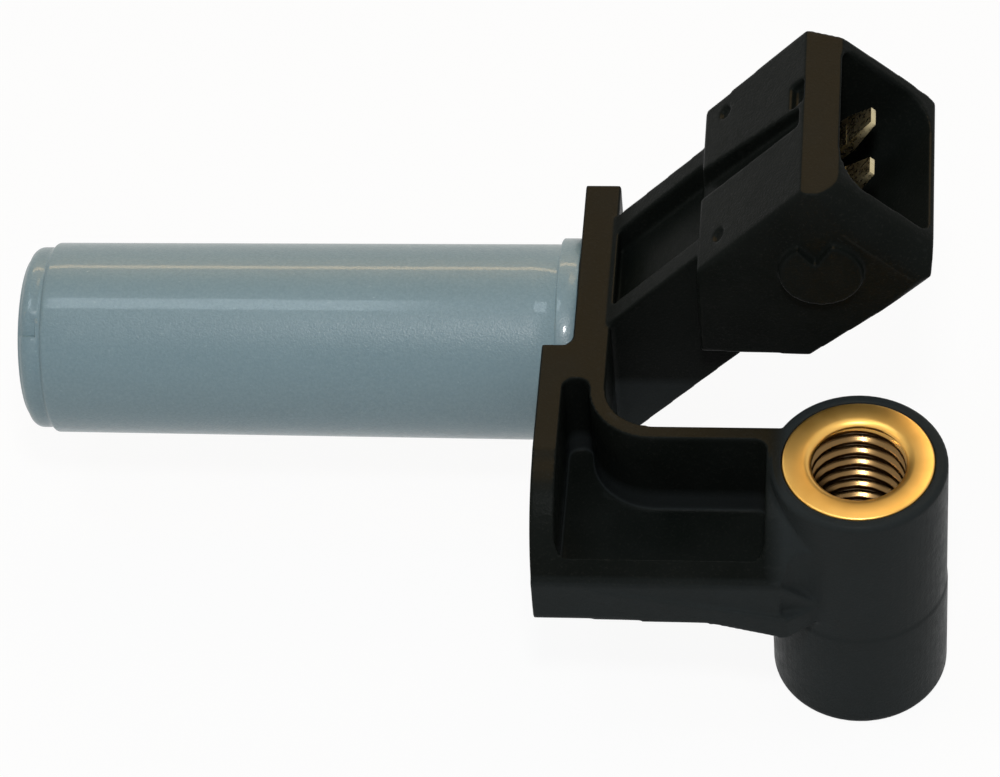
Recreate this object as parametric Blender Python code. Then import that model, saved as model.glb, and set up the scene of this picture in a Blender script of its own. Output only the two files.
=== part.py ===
"""Crankshaft position sensor of the inductive kind, with its bracket, threaded boss and plug socket.

Frame: origin at the middle of the sensing face, +X along the barrel towards the flange,
+Z along the boss. Lengths are in millimetres here and become metres through MM.
"""
import math

import bmesh
import bpy
from mathutils import Matrix, Vector

MM = 0.001
GAP = 0.3                       # running clearance between pieces that touch
OVERLAP = 1.0                   # how far joined forms and cutters run into or past each other
BEYOND = 20.0                   # the same for long blanks and cutters
EDGE = 0.25                     # softened edges
SLIVER = 0.01                   # keeps two outlines from lying in one plane

# Barrel sleeve, a cup closed at the sensing end
BARREL_LENGTH = 42.5            # sensing face to flange face
BARREL_TIP_RADIUS = 7.27
BARREL_DRAFT = 0.17             # how much wider it is at the collar
SLEEVE_WALL = 1.1
TIP_WALL = 0.9
CAP_LENGTH = 1.9
CAP_FACE_INSET = 1.02           # from the barrel's side to the sensing face's edge
CAP_ROUND_X = 0.8               # where the cap's round shoulder ends
CAP_EDGE = 0.12
TIP_GROOVE_WIDTH = 0.45
TIP_GROOVE_DEPTH = 0.35
COLLAR_LENGTH = 1.6
COLLAR_STEP = 0.46
COLLAR_EDGE = 0.15
WEDGE_TURN = 131.3              # where the cap's shallow wedge has its step, in degrees from +Y
WEDGE_SWEEP = 15.0
WEDGE_DEPTH = 0.35
WEDGE_CLEAR = 0.05              # how far its floor ends outside the cap

# Flange plate
PLATE_THICKNESS = 2.7
PLATE_RADIUS = 8.9              # half width, and the round of its lower edge
PLATE_OVERLAP = 3.0             # how far the plate runs into the tray
PLATE_FOOT = 0.5                # how far above the tray's underside it ends there
BRACKET_TOP = 8.0               # level of the plate, the bracket strip and the boss top

# Bracket tray between flange and boss
BLOCK_SIDE_Y = -7.4             # step beside the barrel
BLOCK_OVERHANG = 2.25           # how far the tray's end wall stands out towards the tip
END_WALL = 1.8
STRIP_WALL = 1.2
STRIP_BACK_Y = -15.15
STRIP_CORNER_RADIUS = 3.6
STEP_FILLET = 0.9
FRONT_Y = -25.0
FRONT_WALL = 1.0
SHOULDER_RADIUS = 7.5           # big round between the tray's top and its front
FLOOR_LEVEL = 0.0
FLOOR_THICKNESS = 2.1
LEDGE_LEVEL = 2.0
LEDGE_STEP = 0.2
FRONT_FOOT = 0.4                # height of the edge under the front
BOSS_MERGE_RADIUS = 1.9         # hollow round between the tray's front and the boss
WEB_WALL = 0.95
POCKET_CORNER_RADIUS = 0.9
LEG_FLAT = 0.2                  # flat left between the rounds of the narrow leg's end
GUSSET_PROUD = 0.5
GUSSET_START_PROUD = 0.1
GUSSET_DROP = 1.3
GUSSET_START = 2.5              # from the pocket's end, where the band begins
GUSSET_LEVEL = 1.3              # its upper edge there
GUSSET_FOOT = -1.6              # its upper edge at the boss
GUSSET_FULL = 0.6               # past the tray's end, where it stands fully proud
GUSSET_MERGE = 2.8              # short of the boss's middle, where it ends
GUSSET_SINK = 0.1               # how far it then lies inside the boss's round
GUSSET_DROP_LENGTH = 3.75       # before the pocket's far end, where its underside starts to drop

# Boss and its threaded insert
BOSS_REACH = 18.45              # from the flange plate's far face to the boss's middle
BOSS_Y = -18.2
BOSS_RADIUS = 6.4
BOSS_HEIGHT = 22.6
BOSS_EDGE = 0.45
BOSS_PARTING = 12.8             # below the boss's top, where its lower part stands a little proud
BOSS_PARTING_STEP = 0.06
INSERT_RADIUS = 5.2
INSERT_BORE_RADIUS = 3.35
INSERT_MOUTH_RADIUS = 4.05
INSERT_GROOVE_DEPTH = 0.8
INSERT_GROOVE_LENGTH = 3.6

# Arm and plug socket, along a slope
ARM_SLOPE = math.radians(47.2)
ARM_ROOT_Z = 0.4
ARM_HALF_WIDTH = 5.5
ARM_TOP = 5.4                   # heights above and below the sloping middle line
ARM_BOTTOM = -3.75
ARM_RIB = 1.8
ARM_GROOVE_FLOOR = 3.7
ARM_ROOT_WEB = 0.15             # what the channel leaves standing on the flange
SOCKET_REAR = 6.75              # from the flange plate's far face
SOCKET_UNDERSIDE = 7.65
SOCKET_MIDDLE_Y = 0.4           # the socket's middle beside the arm's
SOCKET_TOP = 6.0
SOCKET_BOTTOM = -6.45           # at the rim
SOCKET_BOTTOM_DRAFT = 0.048     # rise of the lower face towards the rear, per length
SOCKET_HALF_WIDTH = 8.9         # near side, at its widest
SOCKET_TOP_HALF_WIDTH = 8.4
SOCKET_FAR_WIDTH = 7.45         # far side, at the sloping middle line
SOCKET_FAR_FOOT = 7.15          # far side, at the lower face
SOCKET_SIDE_DRAFT = 0.05        # narrowing of each side towards the rear, per length
SOCKET_WIDEST = 1.5             # height at which the sides are widest
SOCKET_TOP_RADIUS = 0.4
SOCKET_NEAR_RADIUS = 0.9        # lower corners, near and far side
SOCKET_FAR_RADIUS = 2.6
RIM_OUTER = 27.5                # distance up the slope to the rim's outer edge
RIM_INNER = 29.3
RIM_NEAR_ROUND = 2.4
RIM_FAR_CUT = 2.4               # length and width of the chamfer on the rim's far side
RIM_FAR_NARROWING = 1.05
RIM_BEVEL = 1.4
MOUTH_NEAR = 6.4                # half widths from the socket's middle
MOUTH_FAR = 6.35
MOUTH_LIP = 0.12                # flat edge between the rim's level facet and the mouth
MOUTH_BOTTOM = -4.6
MOUTH_WIDE_RADIUS = 2.6         # near upper and far lower corners
MOUTH_TIGHT_RADIUS = 0.9
SOCKET_DEPTH = 10.5
SLOT_NEAR_Y = -0.75
SLOT_REAR_WIDTH = 3.3
SLOT_RIM_WIDTH = 1.7
SLOT_REAR_DEPTH = 1.6
SLOT_RIM_DEPTH = 0.9
SLOT_END = 0.6                  # how far short of the rim's outer edge it ends
CATCH_RADIUS = 3.0
CATCH_PROUD = 0.5
CATCH_ALONG = 23.0
CATCH_ACROSS = -0.05
CATCH_NOTCH = ((0.13, 0.3), (1.2, 0.53), (0.33, 1.5))   # corners from the middle, in catch radii
KEY_NOTCH_NEAR = 1.0            # its near edge, from the socket's middle
KEY_NOTCH_END = 0.15            # how far short of the rim's outer edge it ends
KEY_NOTCH_WIDTH = 2.3
KEY_NOTCH_LENGTH = 1.5
KEY_NOTCH_DEPTH = 0.7
EJECTOR_RADIUS = 0.55
EJECTOR_DEPTH = 0.3
EJECTOR_SPREAD = 6.2
EJECTOR_ALONG = 18.6

# Terminals
BLADE_WIDTH = 2.8
BLADE_THICKNESS = 0.8
BLADE_PITCH = 5.0
BLADE_HEIGHT = 0.25             # above the sloping middle line
BLADE_TIP_ALONG = 28.5
BLADE_TIP_WIDTH = 1.3
BLADE_TIP_THICKNESS = 0.4
BLADE_TIP_LENGTH = 2.4
TAIL_WIDTH = 1.6
TAIL_FOOT_LENGTH = 1.3
TAIL_FOOT_INSET = 0.47          # how far the foot stays inside the spigot's round

# Coil assembly inside the barrel
PIN_HEAD_RADIUS = 3.0
PIN_HEAD_LENGTH = 1.2
BOBBIN_WALL = 0.7
BOBBIN_FRONT_FLANGE = 1.0
BOBBIN_REAR_FLANGE = 1.4
WINDING_LENGTH = 15.0
WINDING_INSET = 0.37            # how far the winding stays below the bobbin's rims
MAGNET_RADIUS = 3.0
MAGNET_LENGTH = 6.0
LEAD_RADIUS = 0.2
LEAD_GROOVE_HALF = 0.5

# Derived places
BARREL_ROOT_RADIUS = BARREL_TIP_RADIUS + BARREL_DRAFT
CAP_FACE_RADIUS = BARREL_TIP_RADIUS - CAP_FACE_INSET
COLLAR_RADIUS = BARREL_ROOT_RADIUS + COLLAR_STEP
SLEEVE_END = BARREL_LENGTH - GAP
SLEEVE_BORE = BARREL_TIP_RADIUS - SLEEVE_WALL
CORE_RADIUS = SLEEVE_BORE - GAP
PLATE_FAR = BARREL_LENGTH + PLATE_THICKNESS
BOSS_X = PLATE_FAR + BOSS_REACH
BLOCK_X0 = BARREL_LENGTH - BLOCK_OVERHANG
POCKET_X0 = BLOCK_X0 + END_WALL
STRIP_CENTRE = (PLATE_FAR + STRIP_CORNER_RADIUS, STRIP_BACK_Y + STRIP_CORNER_RADIUS)
BLOCK_X1 = BOSS_X - math.sqrt(BOSS_RADIUS ** 2 - (STRIP_BACK_Y - BOSS_Y) ** 2)
POCKET_X1 = BLOCK_X1 - WEB_WALL
BLOCK_BOTTOM = FLOOR_LEVEL - FLOOR_THICKNESS
BOSS_BOTTOM = BRACKET_TOP - BOSS_HEIGHT
PIN_RADIUS = 0.5 * (CORE_RADIUS - WINDING_INSET - BOBBIN_WALL - 2.0 * GAP)
BOBBIN_X0 = TIP_WALL + GAP
WINDING_X0 = BOBBIN_X0 + BOBBIN_FRONT_FLANGE + GAP
WINDING_X1 = WINDING_X0 + WINDING_LENGTH
SPOOL_RADIUS = PIN_RADIUS + GAP + BOBBIN_WALL
REAR_X0 = WINDING_X1 + GAP
PIN_END = REAR_X0 + BOBBIN_REAR_FLANGE + PIN_HEAD_LENGTH
MAGNET_X0 = PIN_END + GAP
BOBBIN_X1 = MAGNET_X0 + MAGNET_LENGTH
SPIGOT_X0 = BOBBIN_X1 + GAP
RISE = math.tan(ARM_SLOPE)
BEND_Z = ARM_ROOT_Z + BLADE_HEIGHT / math.cos(ARM_SLOPE)

SEGMENTS = 64
COLOURS = {
    "grey_plastic": ((0.176, 0.258, 0.294), 0.42, 0.0),
    "black_plastic": ((0.018, 0.017, 0.016), 0.55, 0.0),
    "brass": ((0.72, 0.48, 0.17), 0.28, 1.0),
    "tinned": ((0.62, 0.56, 0.42), 0.32, 1.0),
    "bobbin_plastic": ((0.05, 0.05, 0.05), 0.5, 0.0),
    "enamelled_copper": ((0.60, 0.24, 0.10), 0.35, 1.0),
    "soft_iron": ((0.45, 0.45, 0.46), 0.4, 1.0),
    "magnet_alloy": ((0.30, 0.30, 0.32), 0.3, 1.0),
}


def clear_scene():
    for thing in list(bpy.data.objects):
        bpy.data.objects.remove(thing, do_unlink=True)


def material(name):
    found = bpy.data.materials.get(name)
    if found:
        return found
    colour, roughness, metallic = COLOURS[name]
    made = bpy.data.materials.new(name)
    made.use_nodes = True
    shader = made.node_tree.nodes["Principled BSDF"]
    shader.inputs["Base Color"].default_value = (*colour, 1.0)
    shader.inputs["Roughness"].default_value = roughness
    shader.inputs["Metallic"].default_value = metallic
    made.diffuse_color = (*colour, 1.0)
    return made


def solid(name, bm):
    """Turns a bmesh drawn in millimetres into an object in metres with its faces outward."""
    bmesh.ops.recalc_face_normals(bm, faces=bm.faces)
    bmesh.ops.scale(bm, vec=(MM, MM, MM), verts=bm.verts)
    mesh = bpy.data.meshes.new(name)
    bm.to_mesh(mesh)
    bm.free()
    made = bpy.data.objects.new(name, mesh)
    bpy.context.scene.collection.objects.link(made)
    return made


def prism(name, outline, low, high, place):
    """Extrudes a flat outline; place(a, b, c) says where outline point a, b at depth c lies."""
    bm = bmesh.new()
    ring = [bm.verts.new(place(a, b, low)) for a, b in outline]
    face = bm.faces.new(ring)
    moved = Vector(place(0.0, 0.0, high)) - Vector(place(0.0, 0.0, low))
    grown = bmesh.ops.extrude_face_region(bm, geom=[face])
    top = [v for v in grown["geom"] if isinstance(v, bmesh.types.BMVert)]
    bmesh.ops.translate(bm, verts=top, vec=moved)
    return solid(name, bm)


def turned(name, profile, place, steps=SEGMENTS):
    """Spins a profile of (along, radius) points round its axis; radius 0 closes it on the axis."""
    bm = bmesh.new()
    rings = []
    for along, radius in profile:
        if radius == 0.0:
            rings.append([bm.verts.new(place(along, 0.0, 0.0))])
            continue
        turn = [2.0 * math.pi * k / steps for k in range(steps)]
        rings.append([bm.verts.new(place(along, radius * math.cos(t), radius * math.sin(t))) for t in turn])
    closed = len(rings[0]) > 1
    pairs = list(zip(rings, rings[1:] + rings[:1])) if closed else list(zip(rings, rings[1:]))
    for one, two in pairs:
        for k in range(steps):
            n = (k + 1) % steps
            corner = [one[k % len(one)], one[n % len(one)], two[n % len(two)], two[k % len(two)]]
            bm.faces.new(list(dict.fromkeys(corner)))
    return solid(name, bm)


def combine(target, tool, operation):
    """Applies one exact Boolean and removes the tool."""
    step = target.modifiers.new("boolean", "BOOLEAN")
    step.operation = operation
    step.solver = "EXACT"
    step.object = tool
    graph = bpy.context.evaluated_depsgraph_get()
    mesh = bpy.data.meshes.new_from_object(target.evaluated_get(graph))
    target.modifiers.clear()
    target.data = mesh
    bpy.data.objects.remove(tool, do_unlink=True)
    return target


def finish(target, finish_name, angle=32.0):
    """Gives the object its only material and smooth shading up to a crease angle."""
    target.data.materials.clear()
    target.data.materials.append(material(finish_name))
    target.data.shade_smooth()
    target.data.set_sharp_from_angle(angle=math.radians(angle))
    return target


def along_x(a, b, c):
    return (a, b, c)


def plan(a, b, c):
    """Outline in X and Y, extruded along Z."""
    return (a, b, c)


def elevation(a, b, c):
    """Outline in Y and Z, extruded along X."""
    return (c, a, b)


def side(a, b, c):
    """Outline in X and Z, extruded along Y."""
    return (a, c, b)


def upright(x, y):
    """Turning round a vertical axis through x, y."""
    return lambda along, u, v: (x + u, y + v, along)


def slope_point(along, across, y):
    """A point of the arm: distance up the slope, height above its middle line, and Y."""
    return (
        PLATE_FAR + along * math.cos(ARM_SLOPE) - across * math.sin(ARM_SLOPE),
        y,
        ARM_ROOT_Z + along * math.sin(ARM_SLOPE) + across * math.cos(ARM_SLOPE),
    )


def slope_at_x(x, across):
    """Distance up the slope where the line at this height crosses the plane X = x."""
    return (x - PLATE_FAR + across * math.sin(ARM_SLOPE)) / math.cos(ARM_SLOPE)


def slope_at_z(z, across):
    return (z - ARM_ROOT_Z - across * math.cos(ARM_SLOPE)) / math.sin(ARM_SLOPE)


def slope_side(a, b, c):
    return slope_point(a, b, c)


def slope_plan(a, b, c):
    """Outline along the slope and in Y, extruded across the slope."""
    return slope_point(a, c, b)


def slope_end(a, b, c):
    """Outline in Y and across the slope, extruded along it."""
    return slope_point(c, b, a)


def arc(centre, radius, start, end, steps):
    """Points on a circle from one angle to another, in degrees."""
    found = []
    for k in range(steps + 1):
        turn = math.radians(start + (end - start) * k / steps)
        found.append((centre[0] + radius * math.cos(turn), centre[1] + radius * math.sin(turn)))
    return found


def circle(centre, radius, steps):
    """A closed round outline."""
    return arc(centre, radius, 0.0, 360.0 - 360.0 / steps, steps - 1)


def rounded(corners, steps=5):
    """A closed outline with each corner (a, b, radius) rounded."""
    outline = []
    count = len(corners)
    for k, (a, b, radius) in enumerate(corners):
        here = Vector((a, b))
        before = (Vector(corners[k - 1][:2]) - here).normalized()
        after = (Vector(corners[(k + 1) % count][:2]) - here).normalized()
        if radius <= 0.0:
            outline.append((a, b))
            continue
        half = 0.5 * before.angle(after)
        reach = radius / math.tan(half)
        first = here + before * reach
        last = here + after * reach
        centre = here + (before + after).normalized() * (radius / math.sin(half))
        sweep = (first - centre).angle_signed(last - centre)
        for s in range(steps + 1):
            spoke = Matrix.Rotation(-sweep * s / steps, 2) @ (first - centre)
            outline.append(tuple(centre + spoke))
    return outline


def barrel_sleeve():
    groove_end = CAP_LENGTH
    groove_start = CAP_LENGTH - TIP_GROOVE_WIDTH
    groove_radius = BARREL_TIP_RADIUS - TIP_GROOVE_DEPTH
    collar_start = BARREL_LENGTH - COLLAR_LENGTH
    profile = [(0.0, 0.0), (0.0, CAP_FACE_RADIUS - EDGE), (CAP_EDGE, CAP_FACE_RADIUS)]
    profile += arc((CAP_ROUND_X, CAP_FACE_RADIUS), groove_radius - CAP_FACE_RADIUS, 150.0, 90.0, 4)
    profile += [
        (groove_start, groove_radius),
        (groove_end - CAP_EDGE, groove_radius),
        (groove_end, BARREL_TIP_RADIUS - EDGE),
        (groove_end + EDGE, BARREL_TIP_RADIUS),
        (collar_start - COLLAR_EDGE, BARREL_ROOT_RADIUS),
        (collar_start, COLLAR_RADIUS - COLLAR_EDGE),
        (collar_start + COLLAR_EDGE, COLLAR_RADIUS),
        (SLEEVE_END, COLLAR_RADIUS),
        (SLEEVE_END, SLEEVE_BORE),
        (TIP_WALL, SLEEVE_BORE),
        (TIP_WALL, 0.0),
    ]
    sleeve = turned("barrel_sleeve", profile, along_x)
    combine(sleeve, cap_wedge(groove_radius, groove_start), "DIFFERENCE")
    return finish(sleeve, "grey_plastic", 40.0)


def cap_wedge(radius, end):
    """Cutter for the shallow wedge on the cap's side, deepest at its step."""
    outline = []
    for degrees, reach in (
        (WEDGE_TURN, radius + OVERLAP),
        (WEDGE_TURN, radius - WEDGE_DEPTH),
        (WEDGE_TURN - WEDGE_SWEEP, radius + WEDGE_CLEAR),
        (WEDGE_TURN - WEDGE_SWEEP, radius + OVERLAP),
    ):
        turn = math.radians(degrees)
        outline.append((reach * math.cos(turn), reach * math.sin(turn)))
    return prism("wedge", outline, -OVERLAP, end, elevation)


def tray_block():
    """The bracket's outer form: a rounded front in elevation, and an angle with a hollow corner in plan."""
    ledge_y = FRONT_Y + LEDGE_STEP
    centre = (FRONT_Y + SHOULDER_RADIUS, BRACKET_TOP - SHOULDER_RADIUS)
    turn = 180.0 - math.degrees(math.asin((LEDGE_LEVEL - centre[1]) / SHOULDER_RADIUS))
    front = arc(centre, SHOULDER_RADIUS - LEDGE_STEP, 90.0, turn, 12)
    front[0] = (front[0][0], BRACKET_TOP)
    outline = [(STRIP_BACK_Y + BEYOND, BRACKET_TOP)] + front
    outline += [(ledge_y, LEDGE_LEVEL), (FRONT_Y, LEDGE_LEVEL - LEDGE_STEP)]
    outline += [(FRONT_Y - LEDGE_STEP, BLOCK_BOTTOM + FRONT_FOOT), (FRONT_Y, BLOCK_BOTTOM)]
    outline += [(STRIP_BACK_Y + BEYOND, BLOCK_BOTTOM)]
    block = prism("block", dedupe(outline), BLOCK_X0, BLOCK_X1 + BEYOND, elevation)
    step_corner = (BARREL_LENGTH - STEP_FILLET, BLOCK_SIDE_Y + STEP_FILLET)
    footprint = [(BLOCK_X0, BLOCK_SIDE_Y)]
    footprint += arc(step_corner, STEP_FILLET, -90.0, 0.0, 4)
    footprint += [(PLATE_FAR, BLOCK_SIDE_Y + STEP_FILLET)]
    footprint += arc(STRIP_CENTRE, STRIP_CORNER_RADIUS, 180.0, 270.0, 10)
    footprint += [(BLOCK_X1, STRIP_BACK_Y), (BOSS_X, BOSS_Y)]
    footprint += boss_merge()
    footprint += [(BLOCK_X1, 2.0 * FRONT_Y), (BLOCK_X0, 2.0 * FRONT_Y)]
    shape = prism("footprint", footprint, BLOCK_BOTTOM - BEYOND, BRACKET_TOP + BEYOND, plan)
    return combine(block, shape, "INTERSECT")


def boss_merge():
    """Plan of the hollow round from the boss's side to the tray's end, touching both."""
    r = BOSS_MERGE_RADIUS
    reach = BOSS_RADIUS - SLIVER + r
    dx = BOSS_X - BLOCK_X1 - r
    dy = math.sqrt(reach ** 2 - dx ** 2)
    return arc((BLOCK_X1 + r, BOSS_Y - dy), r, math.degrees(math.atan2(dy, dx)), 180.0, 6)


def dedupe(points, least=1e-4):
    kept = []
    for p in points:
        if not kept or math.dist(p, kept[-1]) > least:
            kept.append(p)
    return kept


def pocket():
    """The tray's pocket, with one narrow leg beside the flange."""
    r = POCKET_CORNER_RADIUS
    inner = STRIP_CORNER_RADIUS + STRIP_WALL
    leg_x1 = STRIP_CENTRE[0] - inner
    front = FRONT_Y + FRONT_WALL
    back = STRIP_CENTRE[1] - inner
    leg_r = 0.5 * (leg_x1 - POCKET_X0 - LEG_FLAT)
    outline = arc((POCKET_X0 + leg_r, STRIP_CENTRE[1]), leg_r, 180.0, 90.0, 4)
    outline += arc((leg_x1 - leg_r, STRIP_CENTRE[1]), leg_r, 90.0, 0.0, 4)
    outline += arc(STRIP_CENTRE, inner, 180.0, 270.0, 10)[1:]
    outline += arc((POCKET_X1 - r, back - r), r, 90.0, 0.0, 4)
    outline += arc((POCKET_X1 - r, front + r), r, 0.0, -90.0, 4)
    outline += arc((POCKET_X0 + r, front + r), r, -90.0, -180.0, 4)
    return prism("pocket", dedupe(outline), FLOOR_LEVEL, BRACKET_TOP + BEYOND, plan)


def flange_plate():
    """The plate's outline: square above, round below, running into the tray on the near side."""
    inside = BLOCK_SIDE_Y - PLATE_OVERLAP
    foot = BLOCK_BOTTOM + PLATE_FOOT
    turn = math.degrees(math.asin(-foot / PLATE_RADIUS)) - 180.0
    outline = [(inside, BRACKET_TOP), (PLATE_RADIUS, BRACKET_TOP)]
    outline += arc((0.0, 0.0), PLATE_RADIUS, 0.0, turn, 24)
    outline += [(inside, foot)]
    return prism("plate", outline, BARREL_LENGTH, PLATE_FAR, elevation)


def gusset():
    """The band low on the tray's front, which grows proud and deeper towards the boss."""
    left = POCKET_X0 + GUSSET_START
    drop_start = POCKET_X1 - GUSSET_DROP_LENGTH
    end = BOSS_X - GUSSET_MERGE
    meet = BOSS_Y - math.sqrt(BOSS_RADIUS ** 2 - GUSSET_MERGE ** 2) + GUSSET_SINK
    outline = [
        (left, FLOOR_LEVEL + GUSSET_LEVEL),
        (BOSS_X - 0.5 * BOSS_RADIUS, FLOOR_LEVEL + GUSSET_FOOT),
        (BOSS_X, FLOOR_LEVEL + GUSSET_FOOT),
        (BOSS_X, BLOCK_BOTTOM - GUSSET_DROP),
        (BLOCK_X1, BLOCK_BOTTOM - GUSSET_DROP),
        (drop_start, BLOCK_BOTTOM),
        (left, BLOCK_BOTTOM),
    ]
    wedge = prism("gusset", outline, FRONT_Y - GUSSET_PROUD, BOSS_Y, side)
    reach = [
        (left, FRONT_Y - GUSSET_START_PROUD),
        (BLOCK_X1 + GUSSET_FULL, FRONT_Y - GUSSET_PROUD),
        (end, meet),
        (end, BOSS_Y + OVERLAP),
        (left, BOSS_Y + OVERLAP),
    ]
    trim = prism("trim", reach, BLOCK_BOTTOM - BEYOND, BRACKET_TOP, plan)
    return combine(wedge, trim, "INTERSECT")


def boss():
    e = BOSS_EDGE
    lower = BOSS_RADIUS + BOSS_PARTING_STEP
    profile = [
        (BOSS_BOTTOM, 0.0),
        (BOSS_BOTTOM, lower - e),
        (BOSS_BOTTOM + 0.3 * e, lower - 0.3 * e),
        (BOSS_BOTTOM + e, lower),
        (BRACKET_TOP - BOSS_PARTING, lower),
        (BRACKET_TOP - BOSS_PARTING + BOSS_PARTING_STEP, BOSS_RADIUS),
        (BRACKET_TOP - 0.6 * e, BOSS_RADIUS),
        (BRACKET_TOP, BOSS_RADIUS - 0.6 * e),
        (BRACKET_TOP, 0.0),
    ]
    return turned("boss", profile, upright(BOSS_X, BOSS_Y))


def boss_bore():
    """The hole that holds the insert, waisted by the rib that fills the insert's groove."""
    middle = BRACKET_TOP - 0.5 * BOSS_HEIGHT
    outer = INSERT_RADIUS + GAP
    rib = INSERT_RADIUS - INSERT_GROOVE_DEPTH + GAP
    half = 0.5 * INSERT_GROOVE_LENGTH - GAP
    profile = [
        (BOSS_BOTTOM - OVERLAP, 0.0),
        (BOSS_BOTTOM - OVERLAP, outer),
        (middle - half, outer),
        (middle - half, rib),
        (middle + half, rib),
        (middle + half, outer),
        (BRACKET_TOP + OVERLAP, outer),
        (BRACKET_TOP + OVERLAP, 0.0),
    ]
    return turned("boss_bore", profile, upright(BOSS_X, BOSS_Y))


def arm():
    """The sloping neck; its upper end stops a little inside the socket, under the slot."""
    root = BARREL_LENGTH + 0.5 * PLATE_THICKNESS
    end = PLATE_FAR + SOCKET_REAR + OVERLAP
    level = SOCKET_UNDERSIDE + OVERLAP
    outline = [
        (slope_at_x(root, ARM_TOP), ARM_TOP),
        (slope_at_x(end, ARM_TOP), ARM_TOP),
        to_slope(end, level),
        (slope_at_z(level, ARM_BOTTOM), ARM_BOTTOM),
        (slope_at_x(root, ARM_BOTTOM), ARM_BOTTOM),
    ]
    return prism("arm", outline, -ARM_HALF_WIDTH, ARM_HALF_WIDTH, slope_side)


def arm_groove():
    """The channel, from just clear of the flange to past the arm's upper end."""
    root = PLATE_FAR + ARM_ROOT_WEB
    end = PLATE_FAR + SOCKET_REAR + 2.0 * OVERLAP
    above = SOCKET_TOP + OVERLAP
    outline = [
        (slope_at_x(root, ARM_GROOVE_FLOOR), ARM_GROOVE_FLOOR),
        (slope_at_x(root, above), above),
        (slope_at_x(end, above), above),
        (slope_at_x(end, ARM_GROOVE_FLOOR), ARM_GROOVE_FLOOR),
    ]
    half = ARM_HALF_WIDTH - ARM_RIB
    return prism("arm_groove", outline, -half, half, slope_side)


def socket_housing():
    """Outer form of the plug socket: side, plan and end outlines intersected."""
    rear = PLATE_FAR + SOCKET_REAR
    middle = SOCKET_MIDDLE_Y
    w = SOCKET_HALF_WIDTH
    rim_drop = (RIM_INNER - RIM_OUTER) * RISE
    underside = slope_at_z(SOCKET_UNDERSIDE, SOCKET_BOTTOM)
    rear_bottom = SOCKET_BOTTOM + SOCKET_BOTTOM_DRAFT * (RIM_OUTER - underside)
    outline = [
        to_slope(rear, SOCKET_UNDERSIDE),
        (slope_at_x(rear, SOCKET_TOP), SOCKET_TOP),
        (RIM_OUTER, SOCKET_TOP),
        (RIM_INNER, SOCKET_TOP - rim_drop),
        (RIM_INNER, SOCKET_BOTTOM + RIM_BEVEL),
        (RIM_OUTER, SOCKET_BOTTOM),
        (slope_at_z(SOCKET_UNDERSIDE, rear_bottom), rear_bottom),
    ]
    housing = prism("housing", outline, -BEYOND, BEYOND, slope_side)
    far = [
        (RIM_INNER - RIM_FAR_CUT, middle + SOCKET_TOP_HALF_WIDTH),
        (RIM_INNER, middle + SOCKET_TOP_HALF_WIDTH - RIM_FAR_NARROWING),
    ]
    near = arc((RIM_INNER - RIM_NEAR_ROUND, middle - w + RIM_NEAR_ROUND), RIM_NEAR_ROUND, 0.0, -90.0, 6)
    narrowing = SOCKET_SIDE_DRAFT * RIM_OUTER
    shape = [(0.0, middle + SOCKET_TOP_HALF_WIDTH - narrowing)] + far
    shape += near + [(0.0, middle - w + narrowing)]
    combine(housing, prism("socket_plan", shape, -BEYOND, BEYOND, slope_plan), "INTERSECT")
    top = SOCKET_TOP_HALF_WIDTH
    end = rounded([
        (middle - top, SOCKET_TOP + SLIVER, SOCKET_TOP_RADIUS),
        (middle + top, SOCKET_TOP + SLIVER, SOCKET_TOP_RADIUS),
        (middle + SOCKET_FAR_WIDTH, 0.0, 0.0),
        (middle + SOCKET_FAR_FOOT, SOCKET_BOTTOM - SLIVER, SOCKET_FAR_RADIUS),
        (middle - w, SOCKET_BOTTOM - SLIVER, SOCKET_NEAR_RADIUS),
        (middle - w, SOCKET_WIDEST, 0.0),
    ])
    combine(housing, prism("socket_end", end, -BEYOND, RIM_INNER + BEYOND, slope_end), "INTERSECT")
    return housing


def to_slope(x, z):
    """Distance up the slope and height above its middle line of a point given in X and Z."""
    dx = x - PLATE_FAR
    dz = z - ARM_ROOT_Z
    along = dx * math.cos(ARM_SLOPE) + dz * math.sin(ARM_SLOPE)
    across = dz * math.cos(ARM_SLOPE) - dx * math.sin(ARM_SLOPE)
    return along, across


def socket_cavity():
    near = SOCKET_MIDDLE_Y - MOUTH_NEAR
    far = SOCKET_MIDDLE_Y + MOUTH_FAR
    top = SOCKET_TOP - (RIM_INNER - RIM_OUTER) * RISE - MOUTH_LIP
    outline = rounded([
        (near, top, MOUTH_WIDE_RADIUS),
        (far, top, MOUTH_TIGHT_RADIUS),
        (far, MOUTH_BOTTOM, MOUTH_WIDE_RADIUS),
        (near, MOUTH_BOTTOM, MOUTH_TIGHT_RADIUS),
    ])
    return prism("cavity", outline, RIM_INNER - SOCKET_DEPTH, RIM_INNER + BEYOND, slope_end)


def socket_slot():
    """The tapering slot in the socket's upper face, running on from the arm's channel."""
    start = slope_at_x(PLATE_FAR + SOCKET_REAR, SOCKET_TOP - SLOT_REAR_DEPTH) - OVERLAP
    end = RIM_OUTER - SLOT_END
    outline = [
        (start, SLOT_NEAR_Y),
        (end, SLOT_NEAR_Y),
        (end, SLOT_NEAR_Y + SLOT_RIM_WIDTH),
        (start, SLOT_NEAR_Y + SLOT_REAR_WIDTH),
    ]
    slot = prism("slot", outline, -BEYOND, BEYOND, slope_plan)
    ramp = [
        (start - OVERLAP, SOCKET_TOP - SLOT_REAR_DEPTH),
        (end + OVERLAP, SOCKET_TOP - SLOT_RIM_DEPTH),
        (end + OVERLAP, SOCKET_TOP + OVERLAP),
        (start - OVERLAP, SOCKET_TOP + OVERLAP),
    ]
    return combine(slot, prism("ramp", ramp, -BEYOND, BEYOND, slope_side), "INTERSECT")


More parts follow.
